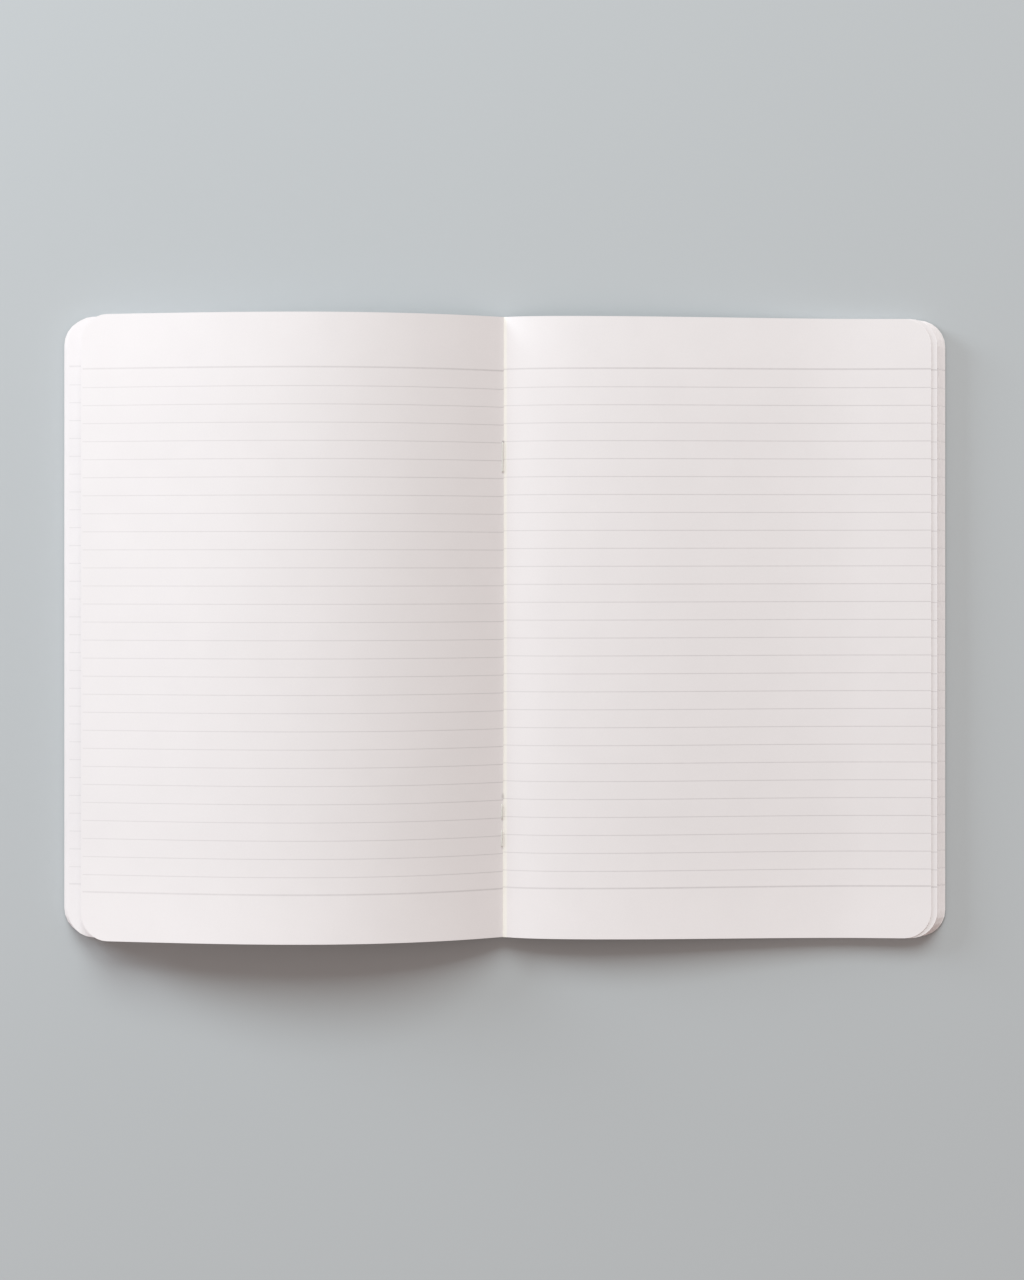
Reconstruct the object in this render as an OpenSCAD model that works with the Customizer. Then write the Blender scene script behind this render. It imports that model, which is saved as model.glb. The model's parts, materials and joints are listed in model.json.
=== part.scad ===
// An open sewn notebook lying on a table, in millimetres.
// Origin: under the fold, at the middle of the page height, on the table. +X points to the right page, +Y to the
// head of the page, +Z up. Every section is drawn in X and Z and runs along Y.

/* [Page] */
// Width of the closed notebook
page_w = 177.8; // [165:0.1:220]
// Height of a page
page_h = 247.65; // [205:0.05:320]
// Radius of the rounded corners
corner_r = 10.7; // [4:0.1:20]

/* [Leaves] */
// Thickness of the leaves that lie on the covers
pressed_t = 2.9; // [1.5:0.1:5]
// Thickness of the middle leaves, which stand up on the left
middle_t = 1.3; // [0.8:0.1:3]
// Bunches of pressed leaves whose edges step outward
bunch_n = 8; // [2:1:10]
// Length that the fold takes of a leaf for each mm of leaves inside it
fold_share = 1.43; // [1:0.01:1.57]
// How much further a pressed leaf reaches on the left for each mm of pressed leaves on it
fan_left = 0.9; // [0.3:0.05:1.6]
// How much further a pressed leaf reaches on the right for each mm of pressed leaves on it
fan_right = 1.35; // [0.3:0.05:1.6]
// How far the pressed leaves spring up at the left fore-edge
spring_left = 1.7; // [0:0.1:3]
// How far the leaves spring up at the right fore-edge
spring_right = 1.8; // [0:0.1:3]
// How much further the lower middle leaves reach at the right than the upper ones
ledge = 2; // [0.5:0.1:2.4]
// Part of the middle leaves that makes this ledge
ledge_share = 0.6; // [0.2:0.05:0.8]

/* [Arch over the table] */
// Height of the tape over the table under the fold
fold_clear = 0.65; // [0.3:0.05:3]
// Rise of the leaves beside the fold for each mm away from it
fold_slope = 0.67; // [0.3:0.01:1]
// Height of the underside of the leaves at the crest beside the fold
crest_z = 7.9; // [7:0.1:12]
// Distance of the crest from the fold
crest_x = 35; // [28:1:45]
// Distance from the fold at which the leaves lie flat
flat_x = 143; // [100:1:148]

/* [Standing leaves] */
// Height of the underside of the standing leaves at their top
stand_z = 24.5; // [18:0.1:40]
// Distance of their top from the fold
stand_x = 80; // [60:1:95]
// Height of their underside out at the width of the page
stand_edge_z = 13.1; // [9:0.1:20]
// How much the standing leaves end before the width they were trimmed to
stand_back = 1.2; // [0:0.1:3]

/* [Covers] */
// Thickness of the cover card
cover_t = 0.6; // [0.4:0.05:1.5]
// Gap between the leaves and a cover
cover_gap = 0.3; // [0.2:0.05:0.6]
// Width between the two covers, where the tape bridges the spine
spine_w = 10; // [8:0.5:14]
// Thickness of the spine tape
tape_t = 0.3; // [0.2:0.05:0.5]
// Gap between the tape and the edge of a cover
tape_gap = 0.4; // [0.3:0.05:1]

/* [Sewing] */
// Thickness of the thread
thread_d = 0.6; // [0.4:0.05:0.8]
// Clearance of the thread in its holes and on the fold
thread_gap = 0.1; // [0.05:0.01:0.2]
// Distance from the middle of the page height to the nearer sewing hole toward the head
head_near = 62; // [30:0.5:72]
// Distance from the middle of the page height to the farther sewing hole toward the head
head_far = 75; // [74:0.5:90]
// Distance from the middle of the page height to the nearer sewing hole toward the foot
foot_near = 69.5; // [30:0.5:73]
// Distance from the middle of the page height to the farther sewing hole toward the foot
foot_far = 88.5; // [75:0.5:96]
// Length of the thread's ends past the outer holes
tail_len = 4; // [1:0.5:5]

/* [Hidden] */

arch_steps = 10;   // straight pieces in each half of an arch
corner_fn = 96;    // fineness of the page corners
thread_fn = 24;    // fineness of the thread and its holes

block_t = pressed_t + middle_t;
tall = 2 * (stand_z + 2 * block_t);                    // cuts both ways through all that lies on the table
flat_z = cover_t + cover_gap;                          // underside of the leaves where they lie flat
tape_depth = max(flat_z, thread_d + 2 * thread_gap);   // the tape lies level with the covers, below the thread

// The leaves were trimmed in the closed notebook, whose fold takes its share of the width.
middle_len = page_w - block_t - flat_z - tape_t;
outer_len = middle_len + fold_share * block_t;

// The underside of the leaves, from the fold out past every edge
fold_z = fold_clear + norm([1, fold_slope]) * (tape_depth + tape_t);
fold_reach = 0.17 * crest_x;
flat_run = flat_x - crest_x;
pressed_curve = arch(
    [[0, fold_z], [fold_reach, fold_z + fold_slope * fold_reach], [0.43 * crest_x, crest_z], [crest_x, crest_z]],
    [[crest_x, crest_z], [crest_x + flat_run / 3, crest_z], [flat_x - 0.3 * flat_run, flat_z], [flat_x, flat_z]],
    [[page_w, flat_z], [2 * page_w, flat_z]]);

// The underside of the standing leaves, which part from the pressed ones beside the fold
stand_root = raised(pressed_curve, pressed_t)[0];
stand_rise = stand_z - stand_root[1];
stand_run = page_w - stand_x;
stand_drop = stand_z - stand_edge_z;
stand_curve = arch(
    [stand_root, [0.28 * stand_x, stand_root[1] + 0.64 * stand_rise], [0.62 * stand_x, stand_z], [stand_x, stand_z]],
    [[stand_x, stand_z], [stand_x + stand_run / 3, stand_z],
     [page_w - 0.4 * stand_run, stand_edge_z + stand_drop / 2], [page_w, stand_edge_z]],
    [[1.1 * page_w, stand_edge_z - 0.015 * page_w]]);

// The thread lies in the gutter above and along the fold below.
fold_lean = secant(pressed_curve, 0);
gutter_z = fold_z + block_t * fold_lean;
inside_z = gutter_z + (thread_d / 2 + thread_gap) * fold_lean;
outside_z = fold_z - thread_d / 2 - thread_gap;

cover_edge = edge_of(pressed_curve, outer_len);        // the covers were trimmed with the outermost leaves

// A point at share t along a cubic curve with four control points
function bezier(p, t) =
    pow(1 - t, 3) * p[0] + 3 * t * pow(1 - t, 2) * p[1] + 3 * t * t * (1 - t) * p[2] + pow(t, 3) * p[3];

// Two cubic curves end to end, then straight runs
function arch(near, far, runs) = concat(
    [for (i = [0 : arch_steps]) bezier(near, i / arch_steps)],
    [for (i = [1 : arch_steps]) bezier(far, i / arch_steps)],
    runs);

// How much longer than its run a curve is at point i, which is also how much taller a layer on it stands
function secant(curve, i) =
    let (step = curve[min(i + 1, len(curve) - 1)] - curve[max(i - 1, 0)]) norm(step) / step[0];

// The curve moved up square to itself by a thickness, or down by a negative one
function raised(curve, by) = [for (i = [0 : len(curve) - 1]) curve[i] + [0, by * secant(curve, i)]];

// The curve with its far part lifted, by the whole of a height at the width of the page. A higher power keeps the
// lift nearer to the edge.
function sprung(curve, by, power) = [for (p = curve) p + [0, by * pow(min(p[0] / page_w, 1), power)]];

// Length of the curve up to point i, and the x at which its length reaches a limit
function length_to(curve, i) = i == 0 ? 0 : length_to(curve, i - 1) + norm(curve[i] - curve[i - 1]);
function edge_of(curve, limit) = lookup(limit, [for (i = [0 : len(curve) - 1]) [length_to(curve, i), curve[i][0]]]);

// The part of a curve between two distances from the fold
function between(curve, from, to) = concat(
    [[from, lookup(from, curve)]],
    [for (p = curve) if (p[0] > from && p[0] < to) p],
    [[to, lookup(to, curve)]]);

function mirrored(points) = [for (p = points) [-p[0], p[1]]];
function reversed(points) = [for (i = [len(points) - 1 : -1 : 0]) points[i]];
function after_first(points) = [for (i = [1 : len(points) - 1]) points[i]];

// A section between an upper and a lower curve that both cross the fold, left and right sides given outward
function across(left_low, right_low, left_high, right_high) = concat(
    reversed(mirrored(left_low)), after_first(right_low),
    reversed(right_high), after_first(mirrored(left_high)));

// A section drawn along the height of the page and trimmed to a plan with round corners
module trimmed(section, left, right) {
    intersection() {
        rotate([90, 0, 0]) linear_extrude(page_h, center = true) polygon(section);
        linear_extrude(tall, center = true) {
            translate([left, corner_r - page_h / 2]) square([right - left, page_h - 2 * corner_r]);
            translate([left + corner_r, -page_h / 2]) square([right - left - 2 * corner_r, page_h]);
            for (x = [left + corner_r, right - corner_r], side = [-1, 1])
                translate([x, side * (page_h / 2 - corner_r)]) circle(corner_r, $fn = corner_fn);
        }
    }
}

// The leaves that lie on the covers, up to one bunch, cut off where the lowest leaf of that bunch ends
module pressed_bunch(i) {
    low = pressed_t * i / bunch_n;
    high = pressed_t * (i + 1) / bunch_n;
    low_curve = raised(pressed_curve, low);
    high_curve = raised(pressed_curve, high);
    left = edge_of(low_curve, outer_len - fan_left * low);
    right = edge_of(low_curve, outer_len - fan_right * low);
    trimmed(across(
        between(pressed_curve, 0, left), between(pressed_curve, 0, right),
        between(sprung(high_curve, spring_left * high / pressed_t, 2), 0, left), between(right_top(high), 0, right)),
        -left, right);
}

// The top of the right side at a height in the block
function right_top(height) = sprung(raised(pressed_curve, height), spring_right * height / block_t, 4);

// The middle leaves, which lie on the pressed ones at the right and stand up in an arch at the left. At the right
// they are drawn from inside the pressed ones, so that the two make one solid.
module middle_leaves() {
    low_curve = raised(pressed_curve, pressed_t);
    inside = raised(pressed_curve, pressed_t / 2);
    high_stand = raised(stand_curve, middle_t);
    left = edge_of(stand_curve, middle_len - stand_back);
    left_top = edge_of(high_stand, middle_len - stand_back);
    right = edge_of(low_curve, middle_len);
    right_ledge = edge_of(low_curve, middle_len + ledge);
    trimmed(across(
        between(stand_curve, 0, left), concat([[0, fold_z]], between(inside, 0, right)),
        between(high_stand, 0, left_top), between(right_top(block_t), 0, right)),
        -left, right);
    trimmed(concat(
        between(inside, crest_x, right_ledge),
        reversed(between(right_top(pressed_t + ledge_share * middle_t), crest_x, right_ledge))),
        -right_ledge, right_ledge);
}

// The four places where the thread passes through the fold
module at_holes() {
    for (y = [-foot_far, -foot_near, head_near, head_far]) translate([0, y, 0]) children();
}

module page_block() color("#ebe7e7") difference() {
    union() {
        for (i = [0 : bunch_n - 1]) pressed_bunch(i);
        middle_leaves();
    }
    at_holes() cylinder(h = tall, d = thread_d + 2 * thread_gap, center = true, $fn = thread_fn);
}

// A straight length of thread along the fold, with round ends
module thread_run(from, to, height) {
    translate([0, from, height]) rotate([-90, 0, 0]) cylinder(h = to - from, d = thread_d, $fn = thread_fn);
    for (y = [from, to]) translate([0, y, height]) sphere(d = thread_d, $fn = thread_fn);
}

module sewing_thread() color("#d9dad2") {
    at_holes() translate([0, 0, outside_z]) cylinder(h = inside_z - outside_z, d = thread_d, $fn = thread_fn);
    thread_run(-foot_near, head_near, outside_z);
    for (run = [[-foot_far, -foot_near], [head_near, head_far]]) thread_run(run[0], run[1], inside_z);
    for (tail = [-foot_far - tail_len, head_far]) thread_run(tail, tail + tail_len, outside_z);
}

// A band under the leaves: its depth below them, its thickness, and the part of one side that it covers
function band_top(depth, from, to) = between(raised(pressed_curve, -depth), from, to);
function cover_section() =
    concat(band_top(cover_gap, spine_w / 2, cover_edge), reversed(band_top(flat_z, spine_w / 2, cover_edge)));

module spine_tape() color("#1e1f21") {
    top = band_top(tape_depth, 0, spine_w / 2 - tape_gap);
    under = band_top(tape_depth + tape_t, 0, spine_w / 2 - tape_gap);
    rotate([90, 0, 0]) linear_extrude(page_h, center = true) polygon(across(under, under, top, top));
}

module front_cover() color("#2b2d30") trimmed(mirrored(cover_section()), -cover_edge, cover_edge);

module back_cover() color("#2b2d30") trimmed(cover_section(), -cover_edge, cover_edge);

page_block();
sewing_thread();
spine_tape();
front_cover();
back_cover();
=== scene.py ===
# An open composition notebook: ruled leaves, sewn through the fold, between two card covers.
# A cloth tape joins the covers over the fold.
# Lengths are in millimetres until they are used, those of the room in metres.

import json
import math

import bpy
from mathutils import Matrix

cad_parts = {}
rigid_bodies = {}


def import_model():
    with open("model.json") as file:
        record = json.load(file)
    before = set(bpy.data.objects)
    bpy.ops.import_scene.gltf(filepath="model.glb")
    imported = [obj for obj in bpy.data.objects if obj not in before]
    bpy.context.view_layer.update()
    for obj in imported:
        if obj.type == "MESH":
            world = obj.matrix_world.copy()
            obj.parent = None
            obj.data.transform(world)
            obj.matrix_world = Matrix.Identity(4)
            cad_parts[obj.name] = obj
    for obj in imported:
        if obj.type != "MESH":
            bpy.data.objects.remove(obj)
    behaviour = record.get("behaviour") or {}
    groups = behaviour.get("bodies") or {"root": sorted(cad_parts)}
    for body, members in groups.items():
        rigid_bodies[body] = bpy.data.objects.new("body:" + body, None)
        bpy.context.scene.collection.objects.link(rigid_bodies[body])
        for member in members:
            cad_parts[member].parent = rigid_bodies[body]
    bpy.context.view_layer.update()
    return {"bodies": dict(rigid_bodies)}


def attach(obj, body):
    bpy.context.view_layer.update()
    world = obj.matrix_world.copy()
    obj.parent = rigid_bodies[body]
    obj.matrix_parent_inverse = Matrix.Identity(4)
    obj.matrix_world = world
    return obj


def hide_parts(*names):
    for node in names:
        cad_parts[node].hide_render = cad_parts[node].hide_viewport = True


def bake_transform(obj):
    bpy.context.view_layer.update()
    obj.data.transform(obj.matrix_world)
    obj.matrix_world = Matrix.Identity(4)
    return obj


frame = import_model()
mm = 0.001
print("frame loaded")


def newObject(name, data):
    holder = bpy.data.objects.new(name, data)
    bpy.context.scene.collection.objects.link(holder)
    return holder


# The camera stands straight over the book, as in the photograph

camera = {
    "frame": (1024, 1280),     # pixels of the whole photograph
    "focal": 2235.0,           # focal length in those pixels
    "axis": (512.0, 571.65),   # pixel that the lens axis meets
    "over": (3.2, 22.1),       # the point on the table on that axis
    "height": 900.0,
    "sensor": 36.0,
    "clip": (10.0, 20000.0),
}


def placeCamera(c):
    wide, tall = c["frame"]
    data = bpy.data.cameras.new("photoCamera")
    data.sensor_width = c["sensor"]
    data.lens = c["focal"] * c["sensor"] / tall
    data.shift_x = (wide / 2 - c["axis"][0]) / tall
    data.shift_y = (c["axis"][1] - tall / 2) / tall
    data.clip_start, data.clip_end = (v * mm for v in c["clip"])
    holder = newObject("photoCamera", data)
    holder.location = [v * mm for v in (*c["over"], c["height"])]
    bpy.context.scene.camera = holder


placeCamera(camera)
print("camera placed")


def addNode(tree, kind, inputs=None, **settings):
    # An input is a value, a socket, or a node, which stands for its first output
    node = tree.nodes.new(kind)
    for name, value in settings.items():
        setattr(node, name, value)
    for socket, value in (inputs or {}).items():
        if isinstance(value, bpy.types.Node):
            value = value.outputs[0]
        if isinstance(value, bpy.types.NodeSocket):
            tree.links.new(value, node.inputs[socket])
        else:
            node.inputs[socket].default_value = value
    return node


def linearColour(hexCode):
    shares = [int(hexCode[i:i + 2], 16) / 255 for i in (1, 3, 5)]
    return tuple(s / 12.92 if s <= 0.04045 else ((s + 0.055) / 1.055) ** 2.4 for s in shares) + (1.0,)


def newMaterial(name, finish):
    material = bpy.data.materials.new(name)
    material.use_nodes = True
    tree = material.node_tree
    shader = tree.nodes["Principled BSDF"]
    for socket, value in finish.items():
        shader.inputs[socket].default_value = value
    return material, tree, shader, addNode(tree, "ShaderNodeTexCoord").outputs["Object"]


def dressSurface(tree, shader, look, share, height):
    # Mixes two tones by one pattern and lays another over them as relief
    dark, light = (linearColour(v) for v in look["colours"])
    tone = addNode(tree, "ShaderNodeMix", {0: share, 6: dark, 7: light}, data_type="RGBA")
    tree.links.new(tone.outputs[2], shader.inputs["Base Color"])
    depth, strength = look["relief"]
    relief = addNode(tree, "ShaderNodeBump", {"Height": height, "Distance": depth * mm, "Strength": strength})
    tree.links.new(relief.outputs[0], shader.inputs["Normal"])


# Materials

paperLook = {
    "colour": "#f1ebeb",
    "finish": {"Roughness": 0.82, "IOR": 1.47, "Specular IOR Level": 0.3},
    "ink": "#a9a2a3",
    "lines": 30,
    "pitch": 7.13,             # college ruling, 9/32 inch
    "firstLine": 103.4,        # above the middle of the page
    "innerDrop": 0.3,          # how much lower the lines between the first and the last lie
    "lineWidth": 0.34,
    "heavyWidth": 0.62,        # the first and the last line
    "inkBlur": 0.06,           # softness of the edges of a line
    "inkLeft": (0.36, 0.19),   # how much ink shows beside the fold and out at the edge; the rules are real print, drawn fainter where the page is most brightly lit as painted light
    "inkRight": (0.27, 0.38),
    "inkReach": (177.0, 60.0),   # distance from the fold at which the second value holds: left, right
    "inkPatch": 2.5,           # size of the patches that took less ink
    "inkThin": 0.8,            # and how much of it they took
    "bare": (0.6, 0.05),       # how far before the trimmed edge the rules end: left, right
    "fibre": 0.35,             # length of the fibre specks, drawn coarser than the real 0.05 mm to show
    "fibreTone": (0.975, 1.015),
    "cloud": 14.0,             # size of the thicker and thinner places in the sheet
    "cloudTone": (0.992, 1.008),
    "tooth": 0.25,             # grain of the machine felt
    "toothDepth": 0.012,
    "paintedEndLight": (1.018, 1.05),   # painted light: the paper is drawn a little lighter toward head and foot
    "paintedEndLightBand": (75.0, 124.0),  # between these distances from the middle
    "paintedEdgeLight": (1.0, 1.1),    # painted light on the cut edges, left and right: the fanned right edge is drawn paler to lift the shade in it
    "paintedEdgeLightBand": (0.25, 0.1),   # between these distances from the edge
    "paintedFoldHighlight": "#faf5ee",     # painted highlight, cream, on the lit paper on the right of the fold
    "paintedFoldHighlightBand": (0.64, 1.6),   # fades between these distances from the fold
    # Painted shade round the needle holes: distance right of the fold, place along it, depth of the shade,
    # half length
    "holes": ((-0.35, 73.9, 0.5, 0.9), (-0.42, 61.8, 0.15, 0.9), (-0.45, -67.7, 0.28, 2.0),
              (-0.6, -77.3, 0.15, 0.8), (-0.6, -88.4, 0.12, 0.9)),
    "holeRadius": 0.85,
}


def rulingInk(tree, p, place, across, side, gap):
    # How much ink lies on the paper. First the distance to the nearest line, as a share of the pitch.
    rule = addNode(tree, "ShaderNodeAttribute", attribute_name="ruleY").outputs["Fac"]
    drop = addNode(tree, "ShaderNodeMath", {0: p["firstLine"] * mm, 1: rule}, operation="SUBTRACT")
    count = addNode(tree, "ShaderNodeMath", {0: drop, 1: p["pitch"] * mm}, operation="DIVIDE")
    nearest = addNode(tree, "ShaderNodeMath", {0: count}, operation="ROUND")
    line = addNode(tree, "ShaderNodeClamp", {"Value": nearest, "Min": 0.0, "Max": p["lines"] - 1.0})
    fromMiddle = addNode(tree, "ShaderNodeMath", {0: line, 1: (p["lines"] - 1) / 2}, operation="SUBTRACT")
    outward = addNode(tree, "ShaderNodeMath", {0: fromMiddle}, operation="ABSOLUTE")
    isEnd = addNode(tree, "ShaderNodeMath", {0: outward, 1: p["lines"] / 2 - 1}, operation="GREATER_THAN")
    lowered = addNode(tree, "ShaderNodeMapRange", {
        "Value": isEnd, "To Min": p["innerDrop"] / p["pitch"], "To Max": 0.0})
    centre = addNode(tree, "ShaderNodeMath", {0: line, 1: lowered}, operation="ADD")
    away = addNode(tree, "ShaderNodeMath", {0: count, 1: centre}, operation="SUBTRACT")
    distance = addNode(tree, "ShaderNodeMath", {0: away}, operation="ABSOLUTE")

    # Then the line's width and soft edges
    halfLine = addNode(tree, "ShaderNodeMapRange", {
        "Value": isEnd,
        "To Min": p["lineWidth"] / 2 / p["pitch"],
        "To Max": p["heavyWidth"] / 2 / p["pitch"]})
    soft = p["inkBlur"] / p["pitch"]
    inner, outer = (addNode(tree, "ShaderNodeMath", {0: halfLine, 1: soft}, operation=sign)
                    for sign in ("SUBTRACT", "ADD"))
    ink = addNode(tree, "ShaderNodeMapRange", {
        "Value": distance, "From Min": inner, "From Max": outer, "To Min": 1.0, "To Max": 0.0})

    # No ink along the trimmed edge, less of it where the page is most brightly lit as painted light, and thin
    # patches
    bare = addNode(tree, "ShaderNodeMapRange", {
        "Value": side, "To Min": p["bare"][0] * mm, "To Max": p["bare"][1] * mm})
    printedHere = addNode(tree, "ShaderNodeMath", {0: gap, 1: bare}, operation="GREATER_THAN")
    strengths = [addNode(tree, "ShaderNodeMapRange", {
        "Value": across, "From Max": reach * mm, "To Min": ends[0], "To Max": ends[1]})
        for reach, ends in zip(p["inkReach"], (p["inkLeft"], p["inkRight"]))]
    strength = addNode(tree, "ShaderNodeMapRange", {
        "Value": side, "To Min": strengths[0], "To Max": strengths[1]})
    blotch = addNode(tree, "ShaderNodeTexNoise", {
        "Vector": place, "Scale": 1 / (p["inkPatch"] * mm), "Detail": 2.0})
    wetness = addNode(tree, "ShaderNodeMapRange", {
        "Value": blotch, "From Min": 0.3, "From Max": 0.7, "To Min": p["inkThin"]})
    for share in (printedHere, strength, wetness):
        ink = addNode(tree, "ShaderNodeMath", {0: ink, 1: share}, operation="MULTIPLY")
    return ink


def paperToneAndPaintedLight(tree, p, place, side, gap):
    # How light the bare paper is: fibres and clouds, painted light toward the ends and on the edges, and
    # painted shade round the needle holes
    height = addNode(tree, "ShaderNodeSeparateXYZ", {0: place}).outputs["Y"]
    fibre = addNode(tree, "ShaderNodeTexNoise", {
        "Vector": place, "Scale": 1 / (p["fibre"] * mm), "Detail": 3.0, "Roughness": 0.6})
    cloud = addNode(tree, "ShaderNodeTexNoise", {
        "Vector": place, "Scale": 1 / (p["cloud"] * mm), "Detail": 2.0})
    tones = [addNode(tree, "ShaderNodeMapRange", {
        "Value": noise, "From Min": 0.5 - spread, "From Max": 0.5 + spread,
        "To Min": ends[0], "To Max": ends[1]})
        for noise, spread, ends in ((fibre, 0.25, p["fibreTone"]), (cloud, 0.2, p["cloudTone"]))]
    tone = addNode(tree, "ShaderNodeMath", {0: tones[0], 1: tones[1]}, operation="MULTIPLY")
    # Painted light: the cut edges of the right half are drawn paler
    paintedEdgeLight = addNode(tree, "ShaderNodeMapRange", {
        "Value": side, "To Min": p["paintedEdgeLight"][0], "To Max": p["paintedEdgeLight"][1]})
    # Painted light: the paper is drawn lighter toward head and foot
    near, far = p["paintedEndLightBand"]
    paintedHeadLight, paintedFootLight = p["paintedEndLight"]
    for value, start, end, most in ((height, near, far, paintedHeadLight), (height, -near, -far, paintedFootLight),
                                    (gap, *p["paintedEdgeLightBand"], paintedEdgeLight)):
        change = addNode(tree, "ShaderNodeMapRange", {
            "Value": value, "From Min": start * mm, "From Max": end * mm, "To Min": 1.0, "To Max": most},
            interpolation_type="SMOOTHSTEP")
        tone = addNode(tree, "ShaderNodeMath", {0: tone, 1: change}, operation="MULTIPLY")
    # Painted shade round the needle holes
    for x, y, depth, length in p["holes"]:
        offset = addNode(tree, "ShaderNodeVectorMath", {
            0: place, 1: (x * mm, y * mm, 0)}, operation="SUBTRACT")
        squeezed = addNode(tree, "ShaderNodeVectorMath", {
            0: offset, 1: (1, p["holeRadius"] / length, 0)}, operation="MULTIPLY")
        fromHole = addNode(tree, "ShaderNodeVectorMath", {0: squeezed}, operation="LENGTH").outputs["Value"]
        shade = addNode(tree, "ShaderNodeMapRange", {
            "Value": fromHole, "From Max": p["holeRadius"] * mm, "To Min": 1 - depth},
            interpolation_type="SMOOTHSTEP")
        tone = addNode(tree, "ShaderNodeMath", {0: tone, 1: shade}, operation="MULTIPLY")
    return tone


def writingPaper(p):
    # Uncoated wood-free writing paper, calendered: matt, faint tooth, thin offset-printed rules
    material, tree, shader, place = newMaterial("uncoatedWritingPaper", p["finish"])
    side = addNode(tree, "ShaderNodeAttribute", attribute_name="rightSide").outputs["Fac"]
    gap = addNode(tree, "ShaderNodeAttribute", attribute_name="edgeGap").outputs["Fac"]
    x = addNode(tree, "ShaderNodeSeparateXYZ", {0: place})
    across = addNode(tree, "ShaderNodeMath", {0: x}, operation="ABSOLUTE")
    # Painted highlight: a paler, cream band on the right of the fold
    foldHighlightShare = addNode(tree, "ShaderNodeMapRange", {
        "Value": across, "From Min": p["paintedFoldHighlightBand"][0] * mm, "From Max": p["paintedFoldHighlightBand"][1] * mm,
        "To Min": side, "To Max": 0.0}, interpolation_type="SMOOTHSTEP")
    paperWithFoldHighlight = addNode(tree, "ShaderNodeMix", {
        0: foldHighlightShare, 6: linearColour(p["colour"]), 7: linearColour(p["paintedFoldHighlight"])}, data_type="RGBA")
    sheet = addNode(tree, "ShaderNodeVectorMath", {
        0: paperWithFoldHighlight.outputs[2], "Scale": paperToneAndPaintedLight(tree, p, place, side, gap)}, operation="SCALE")
    ink = rulingInk(tree, p, place, across, side, gap)
    printed = addNode(tree, "ShaderNodeMix", {0: ink, 6: sheet, 7: linearColour(p["ink"])}, data_type="RGBA")
    tree.links.new(printed.outputs[2], shader.inputs["Base Color"])
    tooth = addNode(tree, "ShaderNodeTexNoise", {
        "Vector": place, "Scale": 1 / (p["tooth"] * mm), "Detail": 4.0, "Roughness": 0.55})
    grain = addNode(tree, "ShaderNodeBump", {
        "Height": tooth, "Distance": p["toothDepth"] * mm, "Strength": 0.7})
    tree.links.new(grain.outputs[0], shader.inputs["Normal"])
    return material


cardLook = {
    "colours": ("#26282b", "#313438"),
    "roughness": (0.42, 0.6),
    "grain": 0.5,
    "relief": (0.02, 0.6),     # depth and strength
    "cloud": 22.0,
}


def coverCard(c):
    # Black-dyed cover card, calendered and varnished: dark, close-grained, with a low satin sheen
    material, tree, shader, place = newMaterial("dyedCoverCard", {})
    grain = addNode(tree, "ShaderNodeTexNoise", {
        "Vector": place, "Scale": 1 / (c["grain"] * mm), "Detail": 5.0, "Roughness": 0.6})
    cloud = addNode(tree, "ShaderNodeTexNoise", {
        "Vector": place, "Scale": 1 / (c["cloud"] * mm), "Detail": 3.0})
    mixed = addNode(tree, "ShaderNodeMath", {0: grain, 1: cloud}, operation="ADD")
    ramp = addNode(tree, "ShaderNodeMapRange", {"Value": mixed, "From Min": 0.7, "From Max": 1.3})
    gloss = addNode(tree, "ShaderNodeMapRange", {
        "Value": grain, "To Min": c["roughness"][0], "To Max": c["roughness"][1]})
    tree.links.new(gloss.outputs[0], shader.inputs["Roughness"])
    dressSurface(tree, shader, c, ramp, grain)
    return material


clothLook = {
    "colours": ("#131415", "#2c2d30"),
    "finish": {"Roughness": 0.68, "Sheen Weight": 0.15},
    "threadPitch": 0.42,
    "relief": (0.05, 0.8),
    "slub": 0.9,               # length of the thicker places in a thread
}


def bookCloth(c):
    # Starched plain-weave book cloth, black: a fine square weave with dull threads
    material, tree, shader, place = newMaterial("blackBookCloth", c["finish"])
    turns = addNode(tree, "ShaderNodeVectorMath", {
        0: place, "Scale": 2 * math.pi / (c["threadPitch"] * mm)}, operation="SCALE")
    axes = addNode(tree, "ShaderNodeSeparateXYZ", {0: turns})
    warp, weft = (addNode(tree, "ShaderNodeMath", {0: axes.outputs[k]}, operation="SINE") for k in "XY")
    over = addNode(tree, "ShaderNodeMath", {0: warp, 1: weft}, operation="MULTIPLY")
    slub = addNode(tree, "ShaderNodeTexNoise", {
        "Vector": place, "Scale": 1 / (c["slub"] * mm), "Detail": 3.0})
    weave = addNode(tree, "ShaderNodeMath", {0: over, 1: slub}, operation="ADD")
    ramp = addNode(tree, "ShaderNodeMapRange", {"Value": weave, "From Min": -0.5, "From Max": 1.5})
    dressSurface(tree, shader, c, ramp, weave)
    return material


cottonLook = {
    "colours": ("#dedcd5", "#f8f6f0"),
    "finish": {"Roughness": 0.62, "Sheen Weight": 0.2},
    "fuzz": 0.18,
    "relief": (0.04, 0.7),
}


def sewingCotton(c):
    # Waxed cotton thread, unbleached: off-white, with a soft fuzz
    material, tree, shader, place = newMaterial("waxedCottonThread", c["finish"])
    fuzz = addNode(tree, "ShaderNodeTexNoise", {
        "Vector": place, "Scale": 1 / (c["fuzz"] * mm), "Detail": 4.0, "Roughness": 0.7})
    dressSurface(tree, shader, c, fuzz, fuzz)
    return material


paper = writingPaper(paperLook)
card = coverCard(cardLook)
cloth = bookCloth(clothLook)
cotton = sewingCotton(cottonLook)
print("materials made")

# Section of the book: each curve is a list of (distance from the fold, height) points, from the fold outward

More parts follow.
